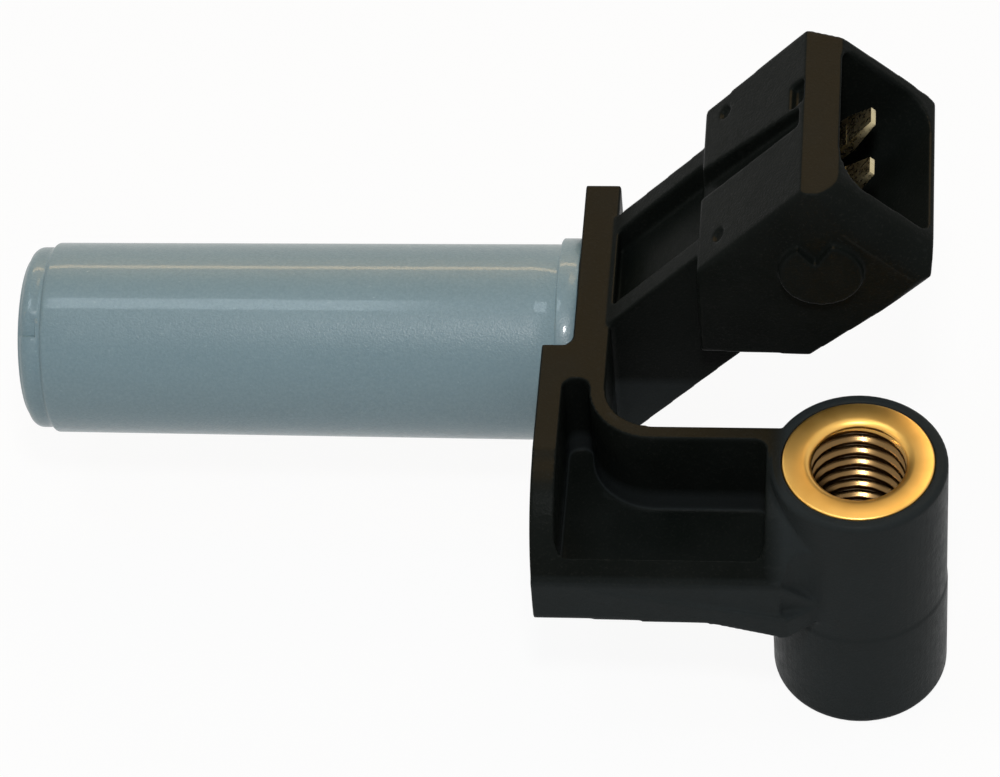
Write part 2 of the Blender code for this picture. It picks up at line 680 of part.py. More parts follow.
def side_catch(sign):
    """A low round catch with a notch at its top, on one side of the socket."""
    disc = circle((CATCH_ALONG, CATCH_ACROSS), CATCH_RADIUS, 24)
    side_width = SOCKET_HALF_WIDTH if sign < 0.0 else SOCKET_FAR_WIDTH
    foot = SOCKET_MIDDLE_Y + sign * (side_width - OVERLAP)
    face = SOCKET_MIDDLE_Y + sign * (side_width + CATCH_PROUD)
    catch = prism("catch", disc, foot, face, slope_side)
    notch = [(CATCH_ALONG + a * CATCH_RADIUS, CATCH_ACROSS + b * CATCH_RADIUS) for a, b in CATCH_NOTCH]
    cutter = prism("notch", notch, sign * OVERLAP, face + sign * OVERLAP, slope_side)
    return combine(catch, cutter, "DIFFERENCE")


def key_notch():
    start = RIM_OUTER - KEY_NOTCH_LENGTH
    end = RIM_OUTER - KEY_NOTCH_END
    near = SOCKET_MIDDLE_Y + KEY_NOTCH_NEAR
    far = near + KEY_NOTCH_WIDTH
    outline = [(start, near), (end, near), (end, far), (start, far)]
    return prism("key_notch", outline, SOCKET_TOP - KEY_NOTCH_DEPTH, SOCKET_TOP + OVERLAP, slope_plan)


def ejector_mark(y):
    outline = circle((EJECTOR_ALONG, y), EJECTOR_RADIUS, 12)
    return prism("ejector", outline, SOCKET_TOP - EJECTOR_DEPTH, SOCKET_TOP + OVERLAP, slope_plan)


def terminal_path(margin):
    """Side outline of one terminal strip: blade up the slope, bend at the flange, tail along the barrel.

    A margin makes the same shape wider and longer, as the channel that the strip lies in.
    """
    half = 0.5 * BLADE_THICKNESS + margin
    shift = half * math.tan(0.5 * ARM_SLOPE)
    bend = slope_at_z(BEND_Z, BLADE_HEIGHT)
    upper_bend = slope_point(bend - shift, BLADE_HEIGHT + half, 0.0)
    lower_bend = slope_point(bend + shift, BLADE_HEIGHT - half, 0.0)
    tip = RIM_INNER - SOCKET_DEPTH + OVERLAP if margin else BLADE_TIP_ALONG
    tail = SPIGOT_X0 - OVERLAP if margin else SPIGOT_X0 + GAP
    upper_tip = slope_point(tip, BLADE_HEIGHT + half, 0.0)
    lower_tip = slope_point(tip, BLADE_HEIGHT - half, 0.0)
    return [
        (tail, BEND_Z + half),
        (upper_bend[0], BEND_Z + half),
        (upper_tip[0], upper_tip[2]),
        (lower_tip[0], lower_tip[2]),
        (lower_bend[0], BEND_Z - half),
        (tail, BEND_Z - half),
    ]


def terminal_strip(name, sign, margin):
    """A strip cut to the terminal's plan: wide blade, narrow tail and a foot that carries the coil lead."""
    strip = prism(name, terminal_path(margin), -BEYOND, BEYOND, side)
    middle = SOCKET_MIDDLE_Y + sign * 0.5 * BLADE_PITCH
    blade = 0.5 * BLADE_WIDTH + margin
    tail = 0.5 * TAIL_WIDTH + margin
    start = SPIGOT_X0 - 2.0 * OVERLAP if margin else SPIGOT_X0
    shoulder = slope_point(RIM_INNER - SOCKET_DEPTH, 0.0, 0.0)[0] - OVERLAP
    end = slope_point(RIM_INNER, 0.0, 0.0)[0] + BEYOND
    foot = SPIGOT_X0 + GAP + TAIL_FOOT_LENGTH + margin
    foot_reach = CORE_RADIUS - TAIL_FOOT_INSET
    outline = [
        (start, middle - sign * tail),
        (shoulder, middle - sign * tail),
        (shoulder, middle - sign * blade),
        (end, middle - sign * blade),
        (end, middle + sign * blade),
        (shoulder, middle + sign * blade),
        (shoulder, middle + sign * tail),
        (foot, middle + sign * tail),
        (foot, sign * (foot_reach + margin)),
        (start, sign * (foot_reach + margin)),
    ]
    shape = prism("strip_plan", outline, -2.0 * BEYOND, 2.0 * BEYOND, plan)
    return combine(strip, shape, "INTERSECT")


def terminal(name, sign):
    """One bare terminal, its blade's tip ground to a bevel on all four sides."""
    strip = terminal_strip(name, sign, 0.0)
    middle = SOCKET_MIDDLE_Y + sign * 0.5 * BLADE_PITCH
    base = BLADE_TIP_ALONG - BLADE_TIP_LENGTH
    tip = BLADE_TIP_ALONG + EDGE
    for s in (-1.0, 1.0):
        edge = [
            (base, middle + s * 0.5 * BLADE_WIDTH),
            (tip, middle + s * 0.5 * BLADE_TIP_WIDTH),
            (tip, middle + s * BLADE_WIDTH),
            (base, middle + s * BLADE_WIDTH),
        ]
        combine(strip, prism("edge", edge, -BEYOND, BEYOND, slope_plan), "DIFFERENCE")
        face = [
            (base, BLADE_HEIGHT + s * 0.5 * BLADE_THICKNESS),
            (tip, BLADE_HEIGHT + s * 0.5 * BLADE_TIP_THICKNESS),
            (tip, BLADE_HEIGHT + s * BLADE_WIDTH),
            (base, BLADE_HEIGHT + s * BLADE_WIDTH),
        ]
        combine(strip, prism("face", face, -BEYOND, BEYOND, slope_side), "DIFFERENCE")
    return finish(strip, "tinned")


def spigot():
    """The moulding's core inside the barrel, holding the coil assembly forward."""
    outer = CORE_RADIUS
    profile = [
        (SPIGOT_X0, 0.0),
        (SPIGOT_X0, outer - EDGE),
        (SPIGOT_X0 + EDGE, outer),
        (BARREL_LENGTH + 0.5 * PLATE_THICKNESS, outer),
        (BARREL_LENGTH + 0.5 * PLATE_THICKNESS, 0.0),
    ]
    return turned("spigot", profile, along_x, 48)


def body_moulding():
    body = flange_plate()
    body.name = "body_moulding"
    tray = tray_block()
    relief = turned(
        "relief",
        [(0.0, 0.0), (0.0, COLLAR_RADIUS + GAP),
         (BARREL_LENGTH, COLLAR_RADIUS + GAP), (BARREL_LENGTH, 0.0)],
        along_x,
    )
    combine(tray, relief, "DIFFERENCE")
    combine(body, tray, "UNION")
    combine(body, gusset(), "UNION")
    combine(body, pocket(), "DIFFERENCE")
    combine(body, boss(), "UNION")
    neck = arm()
    combine(neck, arm_groove(), "DIFFERENCE")
    combine(body, neck, "UNION")
    housing = socket_housing()
    for sign in (-1.0, 1.0):
        combine(housing, side_catch(sign), "UNION")
        combine(housing, ejector_mark(SOCKET_MIDDLE_Y + sign * EJECTOR_SPREAD), "DIFFERENCE")
    combine(housing, socket_slot(), "DIFFERENCE")
    combine(housing, key_notch(), "DIFFERENCE")
    combine(body, housing, "UNION")
    combine(body, spigot(), "UNION")
    combine(body, socket_cavity(), "DIFFERENCE")
    for sign in (-1.0, 1.0):
        combine(body, terminal_strip("channel", sign, GAP), "DIFFERENCE")
    combine(body, boss_bore(), "DIFFERENCE")
    return finish(body, "black_plastic")


def threaded_insert():
    middle = BRACKET_TOP - 0.5 * BOSS_HEIGHT
    half = 0.5 * INSERT_GROOVE_LENGTH
    waist = INSERT_RADIUS - INSERT_GROOVE_DEPTH
    lip = INSERT_MOUTH_RADIUS - INSERT_BORE_RADIUS
    profile = arc((BOSS_BOTTOM + lip, INSERT_MOUTH_RADIUS), lip, 270.0, 180.0, 4)
    profile += [
        (BOSS_BOTTOM, INSERT_RADIUS),
        (middle - half, INSERT_RADIUS),
        (middle - half, waist),
        (middle + half, waist),
        (middle + half, INSERT_RADIUS),
        (BRACKET_TOP, INSERT_RADIUS),
    ]
    profile += arc((BRACKET_TOP - lip, INSERT_MOUTH_RADIUS), lip, 0.0, -90.0, 4)
    insert = turned("threaded_insert", profile, upright(BOSS_X, BOSS_Y))
    return finish(insert, "brass")


def coil_bobbin():
    rim = CORE_RADIUS
    bore = PIN_RADIUS + GAP
    seat = MAGNET_RADIUS + GAP
    head = REAR_X0 + BOBBIN_REAR_FLANGE - GAP
    profile = [
        (BOBBIN_X0, bore),
        (BOBBIN_X0, rim),
        (BOBBIN_X0 + BOBBIN_FRONT_FLANGE, rim),
        (BOBBIN_X0 + BOBBIN_FRONT_FLANGE, SPOOL_RADIUS),
        (REAR_X0, SPOOL_RADIUS),
        (REAR_X0, rim),
        (BOBBIN_X1, rim),
        (BOBBIN_X1, seat),
        (head, seat),
        (head, bore),
    ]
    bobbin = turned("coil_bobbin", profile, along_x, 48)
    h = LEAD_GROOVE_HALF
    for sign in (-1.0, 1.0):
        low = sign * (rim - 3.0 * LEAD_RADIUS - GAP)
        out = sign * BARREL_TIP_RADIUS
        outline = [(low, -h), (low, h), (out, h), (out, -h)]
        groove = prism("groove", outline, REAR_X0 - OVERLAP, BOBBIN_X1 + OVERLAP, elevation)
        combine(bobbin, groove, "DIFFERENCE")
    return finish(bobbin, "bobbin_plastic")


def coil_winding():
    inner = SPOOL_RADIUS + GAP
    outer = CORE_RADIUS - WINDING_INSET
    profile = [
        (WINDING_X0, inner),
        (WINDING_X0, outer - EDGE),
        (WINDING_X0 + EDGE, outer),
        (WINDING_X1 - EDGE, outer),
        (WINDING_X1, outer - EDGE),
        (WINDING_X1, inner),
    ]
    return finish(turned("coil_winding", profile, along_x, 48), "enamelled_copper")


def pole_pin():
    profile = [
        (BOBBIN_X0, 0.0),
        (BOBBIN_X0, PIN_RADIUS),
        (PIN_END - PIN_HEAD_LENGTH, PIN_RADIUS),
        (PIN_END - PIN_HEAD_LENGTH, PIN_HEAD_RADIUS),
        (PIN_END, PIN_HEAD_RADIUS),
        (PIN_END, 0.0),
    ]
    return finish(turned("pole_pin", profile, along_x, 32), "soft_iron")


def magnet():
    profile = [
        (MAGNET_X0, 0.0),
        (MAGNET_X0, MAGNET_RADIUS - EDGE),
        (MAGNET_X0 + EDGE, MAGNET_RADIUS),
        (BOBBIN_X1 - EDGE, MAGNET_RADIUS),
        (BOBBIN_X1, MAGNET_RADIUS - EDGE),
        (BOBBIN_X1, 0.0),
    ]
    return finish(turned("magnet", profile, along_x, 32), "magnet_alloy")


def coil_lead(name, sign):
    """The winding's end wire, laid in the bobbin's side groove back to the terminal's foot."""
    y = sign * (CORE_RADIUS - 2.0 * LEAD_RADIUS)
    start = REAR_X0
    profile = [(start, 0.0), (start, LEAD_RADIUS), (SPIGOT_X0, LEAD_RADIUS), (SPIGOT_X0, 0.0)]
    lead = turned(name, profile, lambda along, u, v: (along, y + u, v), 12)
    return finish(lead, "enamelled_copper")


def main():
    clear_scene()
    barrel_sleeve()
    body_moulding()
    threaded_insert()
    for name, sign in (("terminal_near", -1.0), ("terminal_far", 1.0)):
        terminal(name, sign)
    coil_bobbin()
    coil_winding()
    pole_pin()
    magnet()
    for name, sign in (("coil_lead_near", -1.0), ("coil_lead_far", 1.0)):
        coil_lead(name, sign)


main()
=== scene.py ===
"""Looks of the crankshaft position sensor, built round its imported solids.

Sizes are written in millimetres and turned into metres by MM, and lamps are placed in metres. All are
in the solids' own frame: origin at the middle of the sensing face, +X along the barrel, +Z along the boss.
"""
import math

import bmesh
import bpy
from mathutils import Matrix, Vector


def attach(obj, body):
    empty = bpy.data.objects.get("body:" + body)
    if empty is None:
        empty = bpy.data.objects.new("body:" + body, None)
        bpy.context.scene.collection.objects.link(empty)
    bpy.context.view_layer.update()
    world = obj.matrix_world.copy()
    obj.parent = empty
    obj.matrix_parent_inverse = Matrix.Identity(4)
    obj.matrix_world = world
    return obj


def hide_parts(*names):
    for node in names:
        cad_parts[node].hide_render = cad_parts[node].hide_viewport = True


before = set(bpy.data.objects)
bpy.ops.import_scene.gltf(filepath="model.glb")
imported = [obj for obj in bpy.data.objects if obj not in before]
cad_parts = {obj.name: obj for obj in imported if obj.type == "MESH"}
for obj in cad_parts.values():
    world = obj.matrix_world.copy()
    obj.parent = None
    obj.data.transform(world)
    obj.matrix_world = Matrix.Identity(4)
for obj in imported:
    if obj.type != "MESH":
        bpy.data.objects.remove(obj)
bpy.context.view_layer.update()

MM = 0.001

# Camera, fitted to the photograph's outlines
CAMERA_EYE = Vector((69.032, -212.108, 236.045)) * MM
CAMERA_AZIMUTH = 8.941
CAMERA_ELEVATION = 48.354
CAMERA_ROLL = -6.068
CAMERA_LENS = 150.91
CAMERA_SENSOR = 36.0

# Light: what the world gives to surfaces, how white the floor looks, and the lamps' colours
WORLD_FILL = 0.24
FLOOR_GLOW = 0.93
WHITE = (1.0, 1.0, 1.0)
COOL = (0.80, 0.92, 1.0)
WARM = (1.0, 0.70, 0.36)
LIT_POINT = Vector((35.0, -8.0, 0.0)) * MM      # all lamps aim here
FLOOR_HALF_WIDTH = 1500.0
FLOOR_GAP = 0.05                # keeps the floor off the boss's lower face

# Sizes that the solids also have
BARREL_LENGTH = 42.5
BARREL_TIP_RADIUS = 7.27
BARREL_ROOT_RADIUS = 7.44
CAP_LENGTH = 1.9
CAP_FACE_RADIUS = 6.25
GROOVE_RADIUS = 6.92
GROOVE_WIDTH = 0.45
COLLAR_LENGTH = 1.6
COLLAR_RADIUS = 7.9
WEDGE_TURN = 131.3
WEDGE_SWEEP = 15.0
WEDGE_DEPTH = 0.35
SLEEVE_WALL = 1.1
TIP_WALL = 0.9
BOSS_X = 63.65
BOSS_Y = -18.2
BOSS_TOP = 8.0
BOSS_BOTTOM = -14.6
INSERT_RADIUS = 5.47            # meets the plastic round it

# Insert: its lips, and the M8 thread that only the scene has
INSERT_LIP = 0.7                # round where the upper and lower faces run into the bore
THREAD_MAJOR_RADIUS = 4.0
THREAD_MINOR_RADIUS = 3.35
THREAD_PITCH = 1.25
THREAD_CREST = 0.25             # shares of half a pitch: flat crest, then straight flank
THREAD_FLANK = 0.625
INSERT_RIM = 0.2                # round on the outer edge of each end
INSERT_WAIST_RADIUS = 4.5       # hidden in the plastic
INSERT_WAIST_LOW = -5.0
INSERT_WAIST_HIGH = -1.6
THREAD_FADE = 0.5               # share of the lip over which the thread fades out
BORE_SHADE_DEPTH = 0.35          # the brass is painted darker from this far below the boss's top, as painted shade in the bore

# Edges of the barrel
FACE_ROUND = 0.32
SHOULDER_ROUND = 0.3
COLLAR_ROUND = 0.15
CENTRE_RING = 0.6               # the end faces' middles are filled inside this radius

# Heel that runs the tray's ledge face on to the boss
TRAY_FRONT_Y = -25.0
TRAY_END_X = 57.9
LEDGE_LEVEL = 1.9
HEEL_START_X = 57.3             # past the pocket, inside its end wall
HEEL_END_X = 60.9
HEEL_END_Y = -23.9
HEEL_LOW = -1.3
HEEL_BOTTOM = -1.9
HEEL_DEPTH = 3.0

# Zones of the black plastic: the boss and the ledge and below, which get painted light, and the level
# upper faces, which get a painted warm sheen
BOSS_ZONE_X = (57.0, 58.5)
BOSS_ZONE_Y = (-10.5, -12.0)
LEDGE_ZONE_Z = (2.4, 1.4)
PAINTED_SHEEN_ZONE_Z = (6.5, 7.5)

# Fineness of the surfaces
MOULD_VOXEL = 0.14
MOULD_TRIANGLES = 170000
MOULD_SOFTENING = 5             # rounds of smoothing
WELD = 0.0005                   # corners closer than this become one
BLADE_EASE = 0.06               # bevel on the blades' edges
AROUND_BARREL = 256
AROUND_INSERT = 128
RINGS_PER_PITCH = 18


def link(piece):
    bpy.context.scene.collection.objects.link(piece)
    return piece


def mesh_piece(name, bm):
    """Object from a bmesh drawn in millimetres, smooth shaded."""
    bmesh.ops.recalc_face_normals(bm, faces=bm.faces)
    bmesh.ops.scale(bm, vec=(MM, MM, MM), verts=bm.verts)
    mesh = bpy.data.meshes.new(name)
    bm.to_mesh(mesh)
    bm.free()
    mesh.shade_smooth()
    return link(bpy.data.objects.new(name, mesh))


def fix_modifiers(piece):
    """Turns the piece's modifiers into its mesh."""
    graph = bpy.context.evaluated_depsgraph_get()
    made = bpy.data.meshes.new_from_object(piece.evaluated_get(graph))
    piece.modifiers.clear()
    piece.data = made
    return piece


def dress(piece, finish, slot, *nodes):
    """Gives a piece its material and its body, and hides the nodes that it stands for; slot is not used.
    """
    piece.data.materials.clear()
    piece.data.materials.append(finish)
    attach(piece, "root")
    if nodes:
        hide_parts(*nodes)
    return piece


class Looks:
    """A material under construction: short ways to add and join its nodes."""

    def __init__(self, name):
        self.material = bpy.data.materials.new(name)
        self.material.use_nodes = True
        self.tree = self.material.node_tree
        self.shader = self.tree.nodes["Principled BSDF"]

    def add(self, kind, **values):
        node = self.tree.nodes.new(kind)
        for key, value in values.items():
            if hasattr(node, key):
                setattr(node, key, value)
            else:
                node.inputs[key.replace("_", " ").title()].default_value = value
        return node

    def join(self, out, into):
        self.tree.links.new(out, into)

    def place(self, stretch=(1.0, 1.0, 1.0)):
        """Object coordinates, stretched along each axis."""
        where = self.add("ShaderNodeTexCoord")
        mapping = self.add("ShaderNodeMapping")
        mapping.inputs["Scale"].default_value = stretch
        self.join(where.outputs["Object"], mapping.inputs["Vector"])
        return mapping.outputs["Vector"]

    def noise(self, size_mm, detail=3.0, rough=0.5, where=None):
        """Noise whose features are about this size."""
        texture = self.add("ShaderNodeTexNoise", detail=detail)
        texture.inputs["Scale"].default_value = 1.0 / (size_mm * MM)
        texture.inputs["Roughness"].default_value = rough
        self.join(where or self.place(), texture.inputs["Vector"])
        return texture.outputs["Fac"]

    def spread(self, value, low, high, to_low, to_high):
        """Moves a value from one range to another, held at the ends."""
        node = self.add("ShaderNodeMapRange")
        ends = {"From Min": low, "From Max": high, "To Min": to_low, "To Max": to_high}
        for socket, number in ends.items():
            node.inputs[socket].default_value = number
        self.join(value, node.inputs["Value"])
        return node.outputs["Result"]

    def blend(self, factor, one, two):
        """Colour between two colours."""
        node = self.add("ShaderNodeMix", data_type="RGBA")
        node.inputs["Factor"].default_value = 0.5
        self.join(factor, node.inputs["Factor"])
        for socket, colour in ((node.inputs[6], one), (node.inputs[7], two)):
            if isinstance(colour, tuple):
                socket.default_value = (*colour, 1.0)
            else:
                self.join(colour, socket)
        return node.outputs[2]

    def times(self, one, two, operation="MULTIPLY"):
        """Product of two values, or what another operation makes of them."""
        node = self.add("ShaderNodeMath", operation=operation)
        self.join(one, node.inputs[0])
        self.join(two, node.inputs[1])
        return node.outputs[0]

    def either(self, one, two):
        """The greater of two values."""
        return self.times(one, two, "MAXIMUM")

    def colour(self, socket):
        self.join(socket, self.shader.inputs["Base Color"])

    def roughness(self, socket):
        self.join(socket, self.shader.inputs["Roughness"])

    def bump(self, height, depth_mm):
        node = self.add("ShaderNodeBump")
        node.inputs["Distance"].default_value = depth_mm * MM
        node.inputs["Strength"].default_value = 1.0
        self.join(height, node.inputs["Height"])
        self.join(node.outputs["Normal"], self.shader.inputs["Normal"])

    def set(self, **values):
        for name, value in values.items():
            self.shader.inputs[name.replace("_", " ")].default_value = value


def grey_plastic():
    """Blue-grey moulded plastic: satin, with a sparkling grain and faint flow streaks along the barrel."""
    look = Looks("grey_plastic")
    cloud = look.spread(look.noise(9.0, where=look.place((0.35, 1.0, 1.0))), 0.3, 0.7, 0.0, 1.0)
    base = look.blend(cloud, (0.130, 0.205, 0.240), (0.148, 0.228, 0.264))
    dust = look.spread(look.noise(0.22, 3.0, 0.65), 0.35, 0.75, 0.0, 0.6)
    dusted = look.blend(dust, base, (0.205, 0.290, 0.320))
    speck = look.spread(look.noise(0.45, 4.0, 0.7), 0.66, 0.78, 0.0, 0.6)
    look.colour(look.blend(speck, dusted, (0.36, 0.45, 0.48)))
    look.roughness(look.spread(look.noise(0.6, 4.0, 0.6), 0.3, 0.7, 0.32, 0.40))
    look.bump(look.noise(0.15, 1.5, 0.6), 0.028)
    look.set(Specular_IOR_Level=0.38, Coat_Weight=0.25, Coat_Roughness=0.08)
    return look.material


def black_plastic():
    """Black moulded plastic: fine eroded grain, a brownish painted highlight on level upper faces standing
    in for the warm back lamp's sheen, and painted light that makes the boss and the upright faces below
    the ledge paler.
    """
    look = Looks("black_plastic")
    here = look.add("ShaderNodeSeparateXYZ")
    look.join(look.place(), here.inputs[0])
    facing = look.add("ShaderNodeSeparateXYZ")
    look.join(look.add("ShaderNodeNewGeometry").outputs["Normal"], facing.inputs[0])

    def zone(axis, ends):
        """0 on one side of a narrow band across an axis and 1 on the other."""
        return look.spread(here.outputs[axis], ends[0] * MM, ends[1] * MM, 0.0, 1.0)

    # Painted light: the boss and the upright faces below the ledge are coloured paler, as if lit more from
    # the front.
    boss = look.times(zone("X", BOSS_ZONE_X), zone("Y", BOSS_ZONE_Y))
    low = zone("Z", LEDGE_ZONE_Z)
    upright = look.spread(facing.outputs["Z"], 0.9, 0.6, 0.0, 1.0)
    painted_light_zone = look.either(boss, look.times(low, upright))
    base = look.blend(painted_light_zone, (0.0045, 0.0058, 0.0050), (0.020, 0.024, 0.025))
    # Painted highlight: level upper faces away from the boss get a brownish tint that stands in for the
    # warm back lamp's sheen.
    level = look.spread(facing.outputs["Z"], 0.90, 0.99, 0.0, 1.0)
    high = zone("Z", PAINTED_SHEEN_ZONE_Z)
    beside = look.spread(boss, 0.0, 1.0, 1.0, 0.0)
    painted_sheen = look.times(look.times(level, high), beside)
    with_painted_sheen = look.blend(painted_sheen, base, (0.0180, 0.0145, 0.0082))
    patch = look.spread(look.noise(6.0), 0.35, 0.65, 0.0, 0.2)
    patched = look.blend(patch, with_painted_sheen, (0.016, 0.018, 0.017))
    speck = look.spread(look.noise(0.22, 3.0, 0.7), 0.55, 0.78, 0.0, 0.3)
    grained = look.blend(speck, patched, (0.034, 0.034, 0.030))
    edge = look.add("ShaderNodeNewGeometry").outputs["Pointiness"]
    worn = look.spread(edge, 0.55, 0.68, 0.0, 0.12)
    look.colour(look.blend(worn, grained, (0.040, 0.044, 0.044)))
    look.roughness(look.spread(look.noise(0.8, 4.0, 0.6), 0.3, 0.7, 0.30, 0.44))
    look.bump(look.noise(0.22, 3.0, 0.7), 0.03)
    look.set(Specular_IOR_Level=0.022)
    return look.material


def turned_metal(name, pale, deep, rough, centre=(0.0, 0.0), groove_mm=0.12, bore=0.0):
    """Metal with fine turning marks round an upright axis, darkened below the level of its bore's lip as
    painted shade in the bore.
    """
    look = Looks(name)
    shift = look.add("ShaderNodeMapping")
    shift.inputs["Location"].default_value = (-centre[0] * MM, -centre[1] * MM, 0.0)
    look.join(look.add("ShaderNodeTexCoord").outputs["Object"], shift.inputs["Vector"])
    rings = look.add("ShaderNodeTexWave", wave_type="RINGS", rings_direction="Z")
    rings.inputs["Scale"].default_value = 0.314 / (groove_mm * MM)
    rings.inputs["Distortion"].default_value = 0.3
    rings.inputs["Detail"].default_value = 1.0
    look.join(shift.outputs["Vector"], rings.inputs["Vector"])
    cloud = look.spread(look.noise(2.6, 2.0, 0.5), 0.3, 0.7, 0.0, 1.0)
    skin = look.blend(cloud, pale, deep)
    finish = look.spread(look.noise(0.5, 2.0, 0.5), 0.3, 0.7, rough, rough + 0.06)
    if bore:
        height = look.add("ShaderNodeSeparateXYZ")
        look.join(shift.outputs["Vector"], height.inputs[0])
        # Painted shade: below the lip the bore's walls are coloured dark, standing in for the dim inside
        # of the bore.
        painted_bore_shade = look.spread(height.outputs["Z"], bore * MM, (bore - 0.6) * MM, 0.0, 0.92)
        skin = look.blend(painted_bore_shade, skin, (0.13, 0.08, 0.038))
        finish = look.spread(height.outputs["Z"], bore * MM, (bore - 0.3) * MM, rough, 0.20)
    look.colour(skin)
    look.roughness(finish)
    look.bump(rings.outputs["Fac"], 0.0006)
    look.set(Metallic=1.0)
    return look.material


def tinned():
    """Tinned blade with faint rolling lines and a golden cast."""
    look = Looks("tinned")
    streak = look.noise(0.6, 3.0, 0.5, look.place((0.25, 1.0, 0.25)))
    share = look.spread(streak, 0.3, 0.7, 0.0, 1.0)
    look.colour(look.blend(share, (0.46, 0.38, 0.21), (0.58, 0.50, 0.31)))
    look.roughness(look.spread(look.noise(0.3), 0.3, 0.7, 0.22, 0.36))
    look.bump(look.noise(0.15, where=look.place((0.2, 1.0, 0.2))), 0.003)
    look.set(Metallic=1.0)
    return look.material


def wound_copper():
    """Enamelled wire laid in close turns along the barrel."""
    look = Looks("enamelled_copper")
    bands = look.add("ShaderNodeTexWave", wave_type="BANDS", bands_direction="X")
    bands.inputs["Scale"].default_value = 0.314 / (0.12 * MM)
    bands.inputs["Distortion"].default_value = 0.3
    look.join(look.place(), bands.inputs["Vector"])
    look.colour(look.blend(bands.outputs["Fac"], (0.42, 0.14, 0.05), (0.72, 0.32, 0.15)))
    look.roughness(look.spread(look.noise(0.8), 0.3, 0.7, 0.25, 0.4))
    look.bump(bands.outputs["Fac"], 0.03)
    look.set(Metallic=1.0)
    return look.material


def inner_plastic():
    """Plain black plastic of the hidden bobbin."""
    look = Looks("bobbin_plastic")
    look.colour(look.blend(look.noise(2.0), (0.04, 0.04, 0.04), (0.065, 0.063, 0.06)))
    look.roughness(look.spread(look.noise(0.5), 0.3, 0.7, 0.4, 0.6))
    look.bump(look.noise(0.25), 0.01)
    return look.material


def arc(centre, radius, start, end, steps):
    """Points on a circle from one angle to another, in degrees."""
    found = []
    for k in range(steps + 1):
        turn = math.radians(start + (end - start) * k / steps)
        found.append((centre[0] + radius * math.cos(turn), centre[1] + radius * math.sin(turn)))
    return found


def grid(rows, wrap_rows):
    """Joins rings of equally many points into quads; rows is a list of lists of positions."""
    bm = bmesh.new()
    rings = [[bm.verts.new(p) for p in row] for row in rows]
    pairs = list(zip(rings, rings[1:]))
    if wrap_rows:
        pairs.append((rings[-1], rings[0]))
    count = len(rings[0])
    for one, two in pairs:
        for k in range(count):
            n = (k + 1) % count
            bm.faces.new((one[k], one[n], two[n], two[k]))
    if not wrap_rows:
        bm.faces.new(rings[0])
        bm.faces.new(rings[-1])
    return bm


def wedge_cut(x, turn):
    """How far the cap's wedge mark lies below the round surface at this place."""
    if x > CAP_LENGTH - GROOVE_WIDTH:
        return 0.0
    degrees = math.degrees(turn) % 360.0
    back = WEDGE_TURN - degrees
    if back < 0.0 or back > WEDGE_SWEEP:
        return 0.0
    return WEDGE_DEPTH * (1.0 - back / WEDGE_SWEEP)


def sleeve():
    """The barrel's sleeve: cap with its wedge mark, groove, slightly tapered barrel and collar."""
    start = CAP_LENGTH - GROOVE_WIDTH
    collar = BARREL_LENGTH - COLLAR_LENGTH
    bore = BARREL_TIP_RADIUS - SLEEVE_WALL
    profile = [(0.0, CENTRE_RING), (0.0, 3.0), (0.0, CAP_FACE_RADIUS - 0.5)]
    profile += arc((FACE_ROUND, CAP_FACE_RADIUS - FACE_ROUND), FACE_ROUND, 180.0, 118.0, 5)
    profile += arc((0.95, CAP_FACE_RADIUS - 0.1), GROOVE_RADIUS - CAP_FACE_RADIUS + 0.1, 140.0, 90.0, 8)
    profile += [(start, GROOVE_RADIUS), (start + 0.08, GROOVE_RADIUS - 0.05)]
    profile += [(CAP_LENGTH - 0.12, GROOVE_RADIUS - 0.05)]
    profile += [(CAP_LENGTH - 0.04, GROOVE_RADIUS - 0.02), (CAP_LENGTH, GROOVE_RADIUS + 0.06)]
    shoulder = (CAP_LENGTH + SHOULDER_ROUND, BARREL_TIP_RADIUS - SHOULDER_ROUND)
    profile += arc(shoulder, SHOULDER_ROUND, 180.0, 90.0, 6)
    steps = 24
    for k in range(1, steps):
        x = CAP_LENGTH + SHOULDER_ROUND + (collar - 0.2 - CAP_LENGTH - SHOULDER_ROUND) * k / steps
        part = (x - CAP_LENGTH) / (collar - CAP_LENGTH)
        profile.append((x, BARREL_TIP_RADIUS + (BARREL_ROOT_RADIUS - BARREL_TIP_RADIUS) * part))
    profile += [(collar - 0.08, BARREL_ROOT_RADIUS), (collar - 0.02, BARREL_ROOT_RADIUS + 0.03)]
    profile += [(collar, BARREL_ROOT_RADIUS + 0.12), (collar, COLLAR_RADIUS - 0.2)]
    profile += arc((collar + COLLAR_ROUND, COLLAR_RADIUS - COLLAR_ROUND), COLLAR_ROUND, 180.0, 90.0, 4)
    profile += [(BARREL_LENGTH - 0.1, COLLAR_RADIUS), (BARREL_LENGTH - 0.02, COLLAR_RADIUS - 0.06)]
    profile += [(BARREL_LENGTH - 0.02, bore), (TIP_WALL, bore), (TIP_WALL, CENTRE_RING)]
    rows = []
    for x, radius in profile:
        row = []
        for k in range(AROUND_BARREL):
            turn = 2.0 * math.pi * k / AROUND_BARREL
            r = radius - (wedge_cut(x, turn) if radius > CAP_FACE_RADIUS else 0.0)
            row.append((x, r * math.cos(turn), r * math.sin(turn)))
        rows.append(row)
    piece = mesh_piece("sleeve", grid(rows, False))
    piece.data.set_sharp_from_angle(angle=math.radians(50.0))
    return piece


